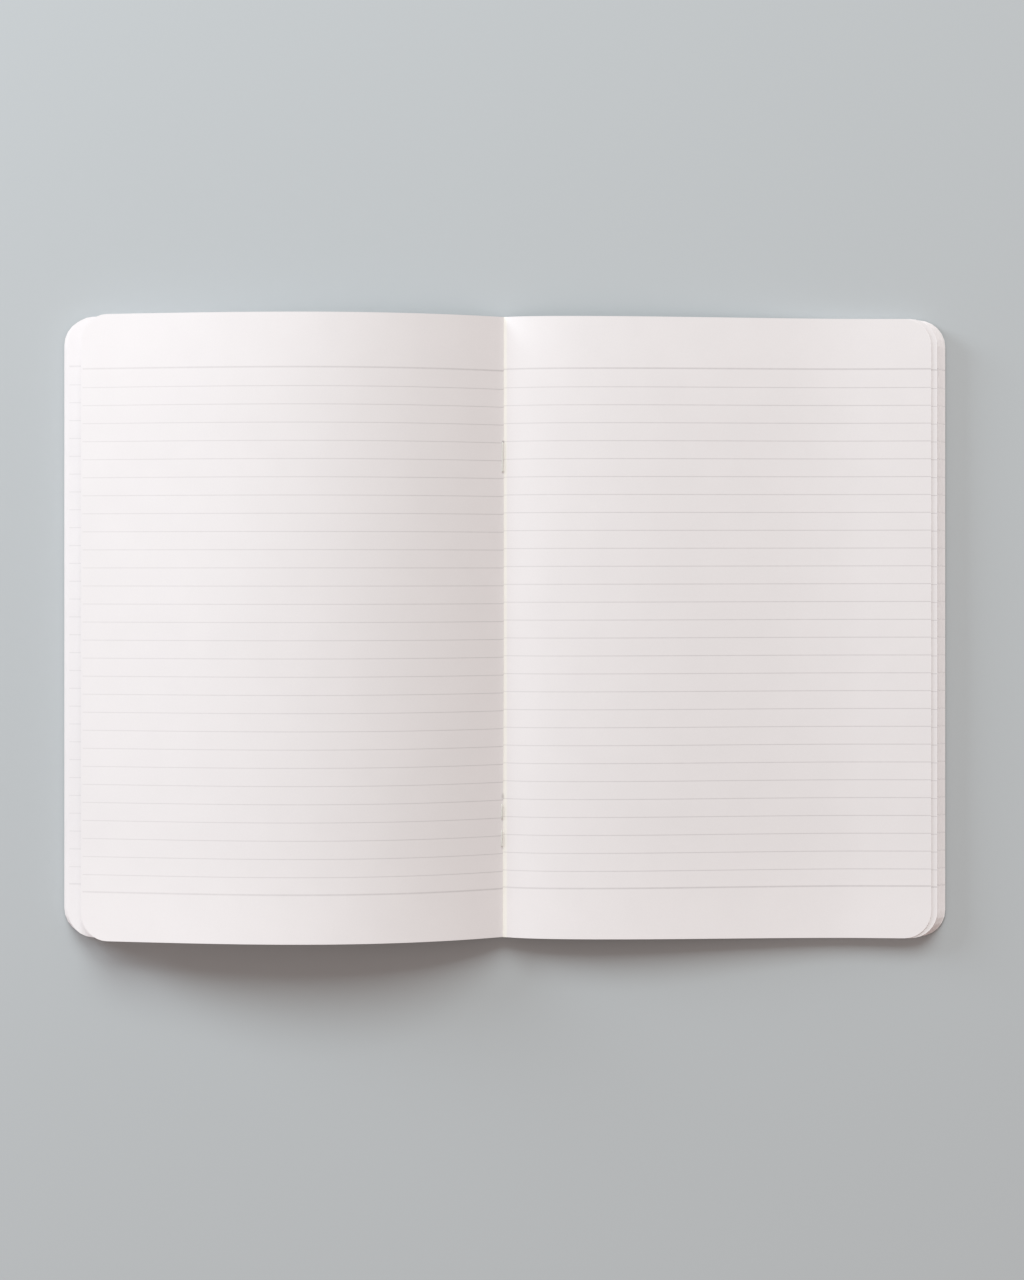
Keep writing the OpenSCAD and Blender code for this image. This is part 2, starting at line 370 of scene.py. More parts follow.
book = {
    "pageWidth": 177.8,
    "pageHeight": 247.65,
    "cornerRadius": 10.7,
    "pressedHeight": 2.9,      # thickness of the leaves that lie on the covers
    "middleHeight": 1.3,       # thickness of the leaves that stand up on the left
    "foldShare": 1.43,         # how much longer a leaf is for each millimetre that it lies further out
    "fanLeft": 0.9,            # how much earlier it ends for each millimetre that it lies higher
    "fanRight": 1.35,
    "springLeft": 1.1,         # how far the leaves spring up at the edge
    "springRight": 1.8,
    "puffLeft": (8.0, 50.0, 198.0),   # the pressed leaves bulge under the standing ones: height, from, to
    "springPower": 4,          # how late the leaves of the right half spring up
    "innerSpring": 0.7,        # how much of that spring the pressed leaves have
    "foldClear": 0.65,         # gap between the floor and the tape
    "foldSlope": 0.67,
    "crest": (35.0, 7.9),      # highest place of the pressed leaves
    "flatFrom": 143.0,         # and from here on they lie flat
    "stand": (80.0, 24.5),     # highest place of the standing leaves
    "standEdge": 13.1,         # height of their free edge
    # Handles of the curves, as shares of the run from the fold to the highest place and from there outward
    "crestPull": (0.17, 0.43),
    "settlePull": (1 / 3, 0.3),
    "standPull": (0.28, 0.62),
    "standClimb": 0.64,
    "fallPull": (1 / 3, 0.4),
    "overrun": (1.1, 0.015),   # the line runs on to this share of the width and falls by that one
    "coverHeight": 0.6,
    "coverGap": 0.3,
    "spineWidth": 10.0,
    "tapeHeight": 0.3,
    "threadWidth": 0.6,
    "threadGap": 0.1,
}
curveSteps = 44


def bezier(p, t):
    weights = ((1 - t) ** 3, 3 * t * (1 - t) ** 2, 3 * t * t * (1 - t), t ** 3)
    return tuple(sum(w * q[k] for w, q in zip(weights, p)) for k in (0, 1))


def arch(near, far, runs):
    first = [bezier(near, i / curveSteps) for i in range(curveSteps + 1)]
    second = [bezier(far, i / curveSteps) for i in range(1, curveSteps + 1)]
    return first + second + runs


def raised(curve, by):
    # The same curve, moved by a distance square to itself but measured straight up
    moved = []
    for i, (x, z) in enumerate(curve):
        (x0, z0), (x1, z1) = curve[max(i - 1, 0)], curve[min(i + 1, len(curve) - 1)]
        moved.append((x, z + by * math.hypot(x1 - x0, z1 - z0) / (x1 - x0)))
    return moved


def sprung(curve, by, width, power=2):
    # Lifted toward the edge
    return [(x, z + by * min(x / width, 1) ** power) for x, z in curve]


def puffed(curve, by, near, far):
    # Bulged between two distances from the fold
    shares = [min(max((x - near) / (far - near), 0), 1) for x, z in curve]
    return [(x, z + by * math.sin(math.pi * share) ** 2) for (x, z), share in zip(curve, shares)]


def lengthAt(curve, x):
    # Length of the curve up to a distance from the fold
    total = 0
    for (x0, z0), (x1, z1) in zip(curve, curve[1:]):
        step = math.hypot(x1 - x0, z1 - z0)
        if x1 >= x:
            return total + step * (x - x0) / (x1 - x0)
        total += step
    return total


def edgeAt(curve, length):
    # How far from the fold a sheet of that length ends
    total = 0
    for (x0, z0), (x1, z1) in zip(curve, curve[1:]):
        step = math.hypot(x1 - x0, z1 - z0)
        if total + step >= length:
            return x0 + (x1 - x0) * (length - total) / step
        total += step
    return curve[-1][0]


def bookSections(b):
    flatZ = b["coverHeight"] + b["coverGap"]
    tapeDepth = max(flatZ, b["threadWidth"] + 2 * b["threadGap"])
    foldZ = b["foldClear"] + math.hypot(1, b["foldSlope"]) * (tapeDepth + b["tapeHeight"])
    width = b["pageWidth"]
    crestX, crestZ = b["crest"]
    flatX = b["flatFrom"]
    foldReach, crestReach = (share * crestX for share in b["crestPull"])
    leave, settle = (share * (flatX - crestX) for share in b["settlePull"])
    pressed = arch(
        [(0, foldZ), (foldReach, foldZ + b["foldSlope"] * foldReach), (crestReach, crestZ), (crestX, crestZ)],
        [(crestX, crestZ), (crestX + leave, crestZ), (flatX - settle, flatZ), (flatX, flatZ)],
        [(width, flatZ), (2 * width, flatZ)])
    rootZ = raised(pressed, b["pressedHeight"])[0][1]
    standX, standZ = b["stand"]
    edgeZ = b["standEdge"]
    rootReach, standReach = (share * standX for share in b["standPull"])
    leave, settle = (share * (width - standX) for share in b["fallPull"])
    past, fall = (share * width for share in b["overrun"])
    standing = arch(
        [(0, rootZ), (rootReach, rootZ + b["standClimb"] * (standZ - rootZ)), (standReach, standZ),
         (standX, standZ)],
        [(standX, standZ), (standX + leave, standZ), (width - settle, (edgeZ + standZ) / 2), (width, edgeZ)],
        [(past, edgeZ - fall)])
    return pressed, standing, foldZ, flatZ, tapeDepth


pressedCurve, standingCurve, foldZ, flatZ, tapeDepth = bookSections(book)
blockHeight = book["pressedHeight"] + book["middleHeight"]
middleLength = book["pageWidth"] - blockHeight - flatZ - book["tapeHeight"]
outerLength = middleLength + book["foldShare"] * blockHeight
coverEdge = edgeAt(pressedCurve, outerLength)
print("section drawn")


def curveObject(name, lines):
    # Open lines of (x, y, z) points
    data = bpy.data.curves.new(name, "CURVE")
    data.dimensions = "3D"
    for line in lines:
        spline = data.splines.new("POLY")
        spline.points.add(len(line) - 1)
        for point, place in zip(spline.points, line):
            point.co = (*(v * mm for v in place), 1)
    return newObject(name, data)


def sheetRows(radius, cornerSteps, middleSteps):
    # Places along the height of a sheet, each with how far the round corner draws the edge in there
    straight = book["pageHeight"] / 2 - radius
    turns = [math.pi / 2 * i / cornerSteps for i in range(1, cornerSteps + 1)]
    corner = [(straight + radius * math.sin(a), radius * (1 - math.cos(a))) for a in turns]
    middle = [(straight * (2 * i / middleSteps - 1), 0) for i in range(middleSteps + 1)]
    return [(-y, inset) for y, inset in reversed(corner)] + middle + corner


def flatSheet(name, rows, columns, reach, inner=0):
    # A closed flat sheet. Columns are shares of the reach to the left, below 0, and to the right.
    # Its two faces lie at heights 0 and 1, and the bend gives it its real thickness.
    wide, tall = len(columns), len(rows)
    points, gaps = [], []
    for level in (0, 1):
        for y, inset in rows:
            for share in columns:
                side = 0 if share < 0 or not reach[1] else 1
                whole = reach[side] - inset - inner
                away = inner + abs(share) * whole
                points.append(((away if side else -away) * mm, y * mm, level))
                gaps.append((1 - abs(share)) * whole * mm)

    def at(i, j, level):
        return (level * tall + j) * wide + i

    faces = []
    for j in range(tall - 1):
        for i in range(wide - 1):
            faces.append((at(i, j, 1), at(i + 1, j, 1), at(i + 1, j + 1, 1), at(i, j + 1, 1)))
            faces.append((at(i, j, 0), at(i, j + 1, 0), at(i + 1, j + 1, 0), at(i + 1, j, 0)))
    smoothFaces = len(faces)
    last = tall - 1
    for i in range(wide - 1):
        faces.append((at(i, 0, 0), at(i + 1, 0, 0), at(i + 1, 0, 1), at(i, 0, 1)))
        faces.append((at(i, last, 0), at(i, last, 1), at(i + 1, last, 1), at(i + 1, last, 0)))
    last = wide - 1
    for j in range(tall - 1):
        faces.append((at(0, j, 0), at(0, j, 1), at(0, j + 1, 1), at(0, j + 1, 0)))
        faces.append((at(last, j, 0), at(last, j + 1, 0), at(last, j + 1, 1), at(last, j, 1)))
    mesh = bpy.data.meshes.new(name)
    mesh.from_pydata(points, [], faces)
    mesh.attributes.new("edgeGap", "FLOAT", "POINT").data.foreach_set("value", gaps)
    mesh.polygons.foreach_set("use_smooth", [n < smoothFaces for n in range(len(faces))])
    rim = {key for face in mesh.polygons[smoothFaces:] for key in face.edge_keys}
    for edge in mesh.edges:
        onFold = min(reach) > 0 and not any(mesh.vertices[k].co.x for k in edge.vertices)
        edge.use_edge_sharp = onFold or edge.key in rim
    return newObject(name, mesh)


def newTree(name, output, sockets):
    # A node tree with its named inputs, listed by kind, and one output
    tree = bpy.data.node_groups.new(name, "GeometryNodeTree")
    for kind, names in sockets.items():
        for socket in names:
            tree.interface.new_socket(socket, in_out="INPUT", socket_type="NodeSocket" + kind)
    tree.interface.new_socket(output, in_out="OUTPUT", socket_type="NodeSocketGeometry")
    return tree, addNode(tree, "NodeGroupInput").outputs


def giveInputs(modifier, values):
    for item in modifier.node_group.interface.items_tree:
        if item.in_out == "INPUT" and item.name in values:
            modifier[item.identifier] = values[item.name]


bend = {
    "wavePitch": (11, 7, 0),   # waves in a metre of paper
    "waveFrom": 50.0,          # they have their full height at this distance from the fold
    "driftReach": 60.0,        # and the wandering fold draws the paper along up to here
    "sideStep": 50.0,          # keeps the random numbers of the left and the right side apart
}


def bentSheetTree(f):
    # Lays copies of one flat sheet on each other between the low and the high profile line of each side
    tree, given = newTree("bentSheets", "Sheets", {
        "Geometry": ("Profiles",), "Object": ("Sheet",), "Int": ("Leaves", "Long Leaves", "Seed"),
        "Float": ("Thickness", "Shorter Left", "Shorter Right", "Longer", "Edge Jitter",
                  "Wave Low", "Wave High", "Turn Right", "Drift", "Drift From",
                  "Rule Left", "Rule Right", "Rule Jitter", "Rule Slant"),
        "Material": ("Material",)})
    index = addNode(tree, "GeometryNodeInputIndex")
    line = addNode(tree, "GeometryNodeMeshLine", {"Count": given["Leaves"], "Offset": (0, 0, 0)})
    numbered = addNode(tree, "GeometryNodeStoreNamedAttribute", {
        "Geometry": line, "Name": "leaf", "Value": index})
    sheet = addNode(tree, "GeometryNodeObjectInfo", {"Object": given["Sheet"]}).outputs["Geometry"]
    copies = addNode(tree, "GeometryNodeInstanceOnPoints", {"Points": numbered, "Instance": sheet})
    flat = addNode(tree, "GeometryNodeRealizeInstances", {"Geometry": copies})
    leaf = addNode(tree, "GeometryNodeInputNamedAttribute", {"Name": "leaf"}, data_type="FLOAT")
    place = addNode(tree, "GeometryNodeInputPosition")
    axes = addNode(tree, "ShaderNodeSeparateXYZ", {0: place}).outputs
    onLeft = addNode(tree, "FunctionNodeCompare", {
        0: axes["X"], 1: 0.0}, data_type="FLOAT", operation="LESS_THAN")
    away = addNode(tree, "ShaderNodeMath", {0: axes["X"]}, operation="ABSOLUTE")

    # How far up in the stack a leaf lies, from 0 to 1
    level = addNode(tree, "ShaderNodeMath", {0: leaf, 1: 0.5}, operation="ADD")
    share = addNode(tree, "ShaderNodeMath", {0: level, 1: given["Leaves"]}, operation="DIVIDE")
    leafShare = addNode(tree, "ShaderNodeMath", {0: leaf, 1: given["Leaves"]}, operation="DIVIDE")

    # The higher leaves end earlier, each a little off the line, and the lowest ones may stand out further
    shorter, ruleSide = (addNode(tree, "GeometryNodeSwitch", {
        "Switch": onLeft, "False": given[name + " Right"], "True": given[name + " Left"]}, input_type="FLOAT")
        for name in ("Shorter", "Rule"))
    uneven = addNode(tree, "FunctionNodeRandomValue", {
        2: -1.0, 3: 1.0, "ID": leaf, "Seed": given["Seed"]}).outputs[1]
    off = addNode(tree, "ShaderNodeMath", {0: uneven, 1: given["Edge Jitter"]}, operation="MULTIPLY")
    loss = addNode(tree, "ShaderNodeMath", {0: leafShare, 1: shorter, 2: off}, operation="MULTIPLY_ADD")
    isLong = addNode(tree, "ShaderNodeMath", {0: leaf, 1: given["Long Leaves"]}, operation="LESS_THAN")
    onRight = addNode(tree, "ShaderNodeMath", {0: 1.0, 1: onLeft}, operation="SUBTRACT")
    longRight = addNode(tree, "ShaderNodeMath", {0: isLong, 1: onRight}, operation="MULTIPLY")
    most = addNode(tree, "ShaderNodeMath", {
        0: longRight, 1: given["Longer"], 2: 1.0}, operation="MULTIPLY_ADD")
    kept = addNode(tree, "ShaderNodeMath", {0: most, 1: loss}, operation="SUBTRACT")
    length = addNode(tree, "ShaderNodeMath", {0: away, 1: kept}, operation="MULTIPLY")
    samples = []
    for number in (0, 1):
        profile = addNode(tree, "GeometryNodeSwitch", {
            "Switch": onLeft, "False": number + 2, "True": number}, input_type="INT")
        samples.append(addNode(tree, "GeometryNodeSampleCurve", {
            "Curves": given["Profiles"], "Length": length, "Curve Index": profile}, mode="LENGTH").outputs)
    low, high = samples
    bent, way = (addNode(tree, "ShaderNodeMix", {
        0: share, 4: low[name], 5: high[name]}, data_type="VECTOR").outputs[1]
        for name in ("Position", "Tangent"))
    bentAxes = addNode(tree, "ShaderNodeSeparateXYZ", {0: bent}).outputs
    wayX = addNode(tree, "ShaderNodeSeparateXYZ", {0: way})
    run = addNode(tree, "ShaderNodeMath", {0: wayX}, operation="ABSOLUTE")
    face = addNode(tree, "ShaderNodeMath", {0: axes["Z"], 1: 0.5}, operation="SUBTRACT")
    square = addNode(tree, "ShaderNodeMath", {0: face, 1: given["Thickness"]}, operation="MULTIPLY")
    upright = addNode(tree, "ShaderNodeMath", {0: square, 1: run}, operation="DIVIDE")
    bentZ = addNode(tree, "ShaderNodeMath", {0: bentAxes["Z"], 1: upright}, operation="ADD")

    # Soft waves that grow away from the fold
    spread = addNode(tree, "ShaderNodeVectorMath", {0: place, 1: f["wavePitch"]}, operation="MULTIPLY")
    noise = addNode(tree, "ShaderNodeTexNoise", {"Vector": spread, "Scale": 1.0, "Detail": 1.0})
    swing = addNode(tree, "ShaderNodeMath", {0: noise, 1: 0.5}, operation="SUBTRACT")
    size = addNode(tree, "ShaderNodeMapRange", {
        "Value": share, "To Min": given["Wave Low"], "To Max": given["Wave High"]})
    grown = addNode(tree, "ShaderNodeMapRange", {
        "Value": away, "From Max": f["waveFrom"] * mm}, interpolation_type="SMOOTHSTEP")
    wave = addNode(tree, "ShaderNodeMath", {0: swing, 1: size}, operation="MULTIPLY")
    lift = addNode(tree, "ShaderNodeMath", {0: wave, 1: grown, 2: bentZ}, operation="MULTIPLY_ADD")

    # The right half lies turned a little, and the fold wanders toward the foot
    awayRight = addNode(tree, "ShaderNodeMath", {0: away, 1: onRight}, operation="MULTIPLY")
    turn = addNode(tree, "ShaderNodeMath", {0: awayRight, 1: given["Turn Right"]}, operation="MULTIPLY")
    along = addNode(tree, "ShaderNodeMath", {0: axes["Y"], 1: turn}, operation="SUBTRACT")
    footward = addNode(tree, "ShaderNodeMapRange", {
        "Value": along, "From Max": given["Drift From"], "To Max": given["Drift"]},
        interpolation_type="SMOOTHSTEP")
    nearFold = addNode(tree, "ShaderNodeMapRange", {
        "Value": away, "From Max": f["driftReach"] * mm, "To Min": 1.0, "To Max": 0.0},
        interpolation_type="SMOOTHSTEP")
    centred = addNode(tree, "ShaderNodeMath", {
        0: footward, 1: nearFold, 2: bentAxes["X"]}, operation="MULTIPLY_ADD")
    final = addNode(tree, "ShaderNodeCombineXYZ", {0: centred, 1: along, 2: lift})

    # Where the ruling falls on each side of each leaf
    topLeaf = addNode(tree, "ShaderNodeMath", {0: given["Leaves"], 1: 1.5}, operation="SUBTRACT")
    belowTop = addNode(tree, "ShaderNodeMath", {0: leaf, 1: topLeaf}, operation="LESS_THAN")
    sideNumber = addNode(tree, "ShaderNodeMath", {
        0: onLeft, 1: f["sideStep"], 2: leaf}, operation="MULTIPLY_ADD")
    ruleChance = addNode(tree, "FunctionNodeRandomValue", {
        2: -1.0, 3: 1.0, "ID": sideNumber, "Seed": given["Seed"]}).outputs[1]
    ruleOff = addNode(tree, "ShaderNodeMath", {0: ruleChance, 1: given["Rule Jitter"]}, operation="MULTIPLY")
    ruleHeld = addNode(tree, "ShaderNodeMath", {0: ruleOff, 1: belowTop}, operation="MULTIPLY")
    slant = addNode(tree, "ShaderNodeMath", {0: awayRight, 1: given["Rule Slant"]}, operation="MULTIPLY")
    ruleY = axes["Y"]
    for shift in (ruleSide, ruleHeld, slant):
        ruleY = addNode(tree, "ShaderNodeMath", {0: ruleY, 1: shift}, operation="SUBTRACT")
    for name, value in (("ruleY", ruleY), ("rightSide", onRight)):
        flat = addNode(tree, "GeometryNodeStoreNamedAttribute", {
            "Geometry": flat, "Name": name, "Value": value})
    shaped = addNode(tree, "GeometryNodeSetPosition", {"Geometry": flat, "Position": final})
    finished = addNode(tree, "GeometryNodeSetMaterial", {"Geometry": shaped, "Material": given["Material"]})
    addNode(tree, "NodeGroupOutput", {0: finished})
    return tree


def runTree(holder, tree, values, name):
    # Runs a node tree on an object and keeps only the result, as a plain mesh object
    modifier = holder.modifiers.new("made", "NODES")
    modifier.node_group = tree
    giveInputs(modifier, values)
    bpy.context.view_layer.update()
    evaluated = holder.evaluated_get(bpy.context.evaluated_depsgraph_get())
    mesh = bpy.data.meshes.new_from_object(evaluated)
    bpy.data.objects.remove(holder)
    mesh.name = name
    print(name, "made,", len(mesh.polygons), "faces")
    return newObject(name, mesh)


def bentSheets(name, profiles, sheet, values):
    # The profile lines are left low, left high, right low and right high
    holder = curveObject(name + "Profiles", [
        [(side * x, 0, z) for x, z in line] for line, side in zip(profiles, (-1, -1, 1, 1))])
    piece = runTree(holder, sheetTree, {"Sheet": sheet, **values}, name)
    bpy.data.objects.remove(sheet)
    return piece


sheetTree = bentSheetTree(bend)

# Leaves: each is its own thin sheet of paper, from fore-edge to fore-edge through the fold

leaves = {
    "thickness": 0.1,
    "pressedColumns": 34,
    "middleColumns": 48,
    "foldColumn": 0.3,         # the narrow strip on each side of the fold
    "edgeJitter": 0.06,
    "waveLow": 0.0,
    "waveMiddle": 0.25,
    "waveHigh": 0.7,
    "turnRight": 0.0042,       # slope of the right half's edges
    "ruleSlant": 0.0058,       # by which its rules slope less
    "drift": -0.4,             # how far the fold has moved at the foot
    "driftLength": 120.0,
    "cutBack": 1.2,            # how much the standing leaves end before the others on the left
    "cutRight": 0.6,           # and on the right
    "ledgeLeaves": 10,         # middle leaves that stand out at the right
    "ledge": 2.5,              # and by how much
    "outerLeaves": 3,          # the same for the outermost leaves
    "outerLedge": 0.3,
    "trim": (-0.3, 0.3),       # how far the outermost leaves and the covers reach past their size
    "middleFan": (0.3, 0.2),   # by how much the uppermost middle leaf ends before the lowest
    # Where the rules lie on the left and on the right, and how much that changes from leaf to leaf
    "pressedRules": (0.75, -0.3, 0.45),
    "middleRules": (-1.1, -0.49, 0.5),
    "pressedRows": (6, 4),     # steps round a corner and along the straight edge
    "middleRows": (8, 10),
    "crowding": 1.15,          # more than 1 sets the columns closer beside the fold
    "paperThickness": 0.085,
    "seed": 7,
}


def foldColumns(count, length):
    # Columns stand closer beside the fold, where a leaf bends most
    first = leaves["foldColumn"] / length
    half = [first + (1 - first) * (i / count) ** leaves["crowding"] for i in range(count + 1)]
    return [-h for h in reversed(half)] + [0] + half


def ruleInputs(places):
    return {name: place * mm for name, place in zip(("Rule Left", "Rule Right", "Rule Jitter"), places)}


def makeLeaves(f):
    b = book
    width = b["pageWidth"]
    common = {"Material": paper, "Thickness": f["paperThickness"] * mm, "Turn Right": f["turnRight"],
              "Drift": f["drift"] * mm, "Drift From": -f["driftLength"] * mm, "Rule Slant": f["ruleSlant"]}
    topOfPressed = raised(pressedCurve, b["pressedHeight"])
    leftTop = puffed(sprung(topOfPressed, b["springLeft"], width), *b["puffLeft"])
    springs = [sprung(curve, b["springRight"] * share, width, b["springPower"]) for curve, share in (
        (topOfPressed, b["innerSpring"]), (raised(pressedCurve, blockHeight), 1))]
    trimLeft, trimRight = f["trim"]
    pressedSheet = flatSheet(
        "pressedSheet", sheetRows(b["cornerRadius"], *f["pressedRows"]),
        foldColumns(f["pressedColumns"], outerLength),
        (outerLength + trimLeft, outerLength + trimRight - f["outerLedge"]))
    pressed = bentSheets("pressed_leaves", (pressedCurve, leftTop, pressedCurve, springs[0]), pressedSheet, {
        **common,
        **ruleInputs(f["pressedRules"]),
        "Leaves": round(b["pressedHeight"] / f["thickness"]),
        "Shorter Left": b["fanLeft"] * b["pressedHeight"] / outerLength,
        "Shorter Right": (b["fanRight"] * b["pressedHeight"] - f["outerLedge"]) / outerLength,
        "Long Leaves": f["outerLeaves"],
        "Longer": f["outerLedge"] / outerLength,
        "Edge Jitter": f["edgeJitter"] / outerLength,
        "Wave Low": f["waveLow"] * mm,
        "Wave High": f["waveMiddle"] * mm,
        "Seed": f["seed"]})
    middleSheet = flatSheet(
        "middleSheet", sheetRows(b["cornerRadius"], *f["middleRows"]),
        foldColumns(f["middleColumns"], middleLength),
        (middleLength - f["cutBack"], middleLength - f["cutRight"]))
    standing = (standingCurve, raised(standingCurve, b["middleHeight"]))
    middle = bentSheets("middle_leaves", (*standing, *springs), middleSheet, {
        **common,
        **ruleInputs(f["middleRules"]),
        "Leaves": round(b["middleHeight"] / f["thickness"]),
        "Shorter Left": f["middleFan"][0] / middleLength,
        "Shorter Right": f["middleFan"][1] / middleLength,
        "Long Leaves": f["ledgeLeaves"],
        "Longer": f["ledge"] / (middleLength - f["cutRight"]),
        "Edge Jitter": f["edgeJitter"] / 2 / middleLength,
        "Wave Low": f["waveMiddle"] * mm,
        "Wave High": f["waveHigh"] * mm,
        "Seed": f["seed"] + 1})
    for piece in (pressed, middle):
        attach(piece, "book_block")
        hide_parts("page_block")


makeLeaves(leaves)

# Covers: plain card, trimmed flush with the outermost leaves

coverLook = {
    "columns": 60,
    "rows": (10, 8),           # steps round a corner and along the straight edge
    "edgeRound": 0.12,         # the cut edge is softened a little
    "edgeSteps": 3,
    "edgeAngle": 60.0,
}


def halfSheet(name, rows, count, side, far, near=0):
    # A flat sheet on one side of the fold, with even columns
    columns = [i / count for i in range(count + 1)]
    if side < 0:
        return flatSheet(name, rows, [-c for c in reversed(columns)], (far, 0), near)
    return flatSheet(name, rows, columns, (0, far), near)


def makeCover(c, name, node, side):
    b = book
    under = raised(pressedCurve, -flatZ)
    top = raised(pressedCurve, -b["coverGap"])
    near = lengthAt(top, b["spineWidth"] / 2)
    far = lengthAt(top, coverEdge) + leaves["trim"][side > 0]
    sheet = halfSheet(name + "Sheet", sheetRows(b["cornerRadius"], *c["rows"]), c["columns"], side, far, near)
    cover = bentSheets(name, (under, top, under, top), sheet, {
        "Leaves": 1, "Thickness": b["coverHeight"] * mm, "Turn Right": leaves["turnRight"],
        "Drift From": -1.0, "Material": card})
    bevel = cover.modifiers.new("softEdge", "BEVEL")
    bevel.width = c["edgeRound"] * mm
    bevel.segments = c["edgeSteps"]
    bevel.limit_method = "ANGLE"
    bevel.angle_limit = math.radians(c["edgeAngle"])
    bevel.harden_normals = True
    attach(cover, node)
    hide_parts(node)


makeCover(coverLook, "front_cover_card", "front_cover", -1)
makeCover(coverLook, "back_cover_card", "back_cover", 1)

# Spine tape: a strip of book cloth round the fold and onto the outside of both covers

tapeLook = {
    "onCover": 14.0,           # how far it reaches onto each cover
    "columns": 40,
    "rows": 24,
    "clear": 0.02,             # gap between cloth and card
    "turnBand": (3.0, 7.0),    # two distances from the fold, which the script turns into places that nothing uses
}


def makeTape(t, name, side):
    b = book
    top = raised(pressedCurve, -tapeDepth - t["clear"])
    under = raised(pressedCurve, -tapeDepth - b["tapeHeight"])
    far = lengthAt(under, b["spineWidth"] / 2 + t["onCover"])
    sheet = halfSheet(name + "Sheet", sheetRows(0, 0, t["rows"]), t["columns"], side, far)
    tape = bentSheets(name, (under, top, under, top), sheet, {
        "Leaves": 1, "Thickness": (b["tapeHeight"] - t["clear"]) * mm, "Drift From": -1.0, "Material": cloth})
    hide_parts("spine_tape")
    near, far = ((side * distance * mm, 0, foldZ * mm) for distance in t["turnBand"])
    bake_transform(tape)


makeTape(tapeLook, "spine_tape_front_half", -1)
makeTape(tapeLook, "spine_tape_back_half", 1)

# Sewing thread: in through the fold near head and foot, and along the back of the fold between

thread = {
    "width": book["threadWidth"],
    "stitches": ((73.6, 62.0), (-71.0, -87.6)),   # holes in pairs, each joined by a stitch inside
    "buried": (-76.0, -82.2),  # here the fold closes over the lower stitch
    "buriedDepth": 0.75,
    "buriedSlope": 1.2,        # length over which it goes down there
    "beside": 0.55,            # how far left of the fold the stitches lie inside
    "sunk": 0.02,              # how far the page takes the thread in
    "tail": 4.0,
    "bend": 0.5,               # radius where it turns into a hole
    "strands": 3,
    "twist": 1.6,              # length of one turn of the twist
    "groove": 0.16,            # depth of the grooves between strands, as a share of the radius
    "bendSteps": 6,
    "step": 0.12,              # distance between the rings of the mesh
    "sides": 18,
}


def foldPlace(y):
    # Where the fold has wandered to, the same as in the leaves
    share = min(max(-y / leaves["driftLength"], 0), 1)
    return leaves["drift"] * share * share * (3 - 2 * share)


def threadRoute(t):
    page = raised(standingCurve, book["middleHeight"])
    lean = math.hypot(1, book["foldSlope"])
    climb = (page[1][1] - page[0][1]) / (page[1][0] - page[0][0])
    inside = page[0][1] + climb * t["beside"] + t["width"] / 2 * lean - t["sunk"]
    outside = foldZ - t["width"] / 2 - book["threadGap"]
    start, end = t["buried"]
    below = inside - t["buriedDepth"]
    route = [(0, t["stitches"][0][0] + t["tail"], outside)]
    for first, second in t["stitches"]:
        stitch = [(first, inside), (second, inside)]
        if first > start > second:
            slope = t["buriedSlope"]
            stitch[1:1] = [(start, inside), (start - slope, below), (end + slope, below), (end, inside)]
        laid = [(foldPlace(y) - t["beside"], y, z) for y, z in stitch]
        route += [(0, first, outside), *laid, (0, second, outside)]
    return route + [(0, t["stitches"][-1][1] - t["tail"], outside)]


def roundedRoute(corners, radius, steps):
    route = [corners[0]]
    for before, corner, after in zip(corners, corners[1:], corners[2:]):
        ways = []
        for end in (before, after):
            away = math.dist(corner, end)
            ways.append(tuple(c + (e - c) * radius / away for c, e in zip(corner, end)))
        for i in range(steps + 1):
            s = i / steps
            route.append(tuple((1 - s) ** 2 * a + 2 * s * (1 - s) * c + s * s * z
                               for a, c, z in zip(ways[0], corner, ways[1])))
    return route + [corners[-1]]


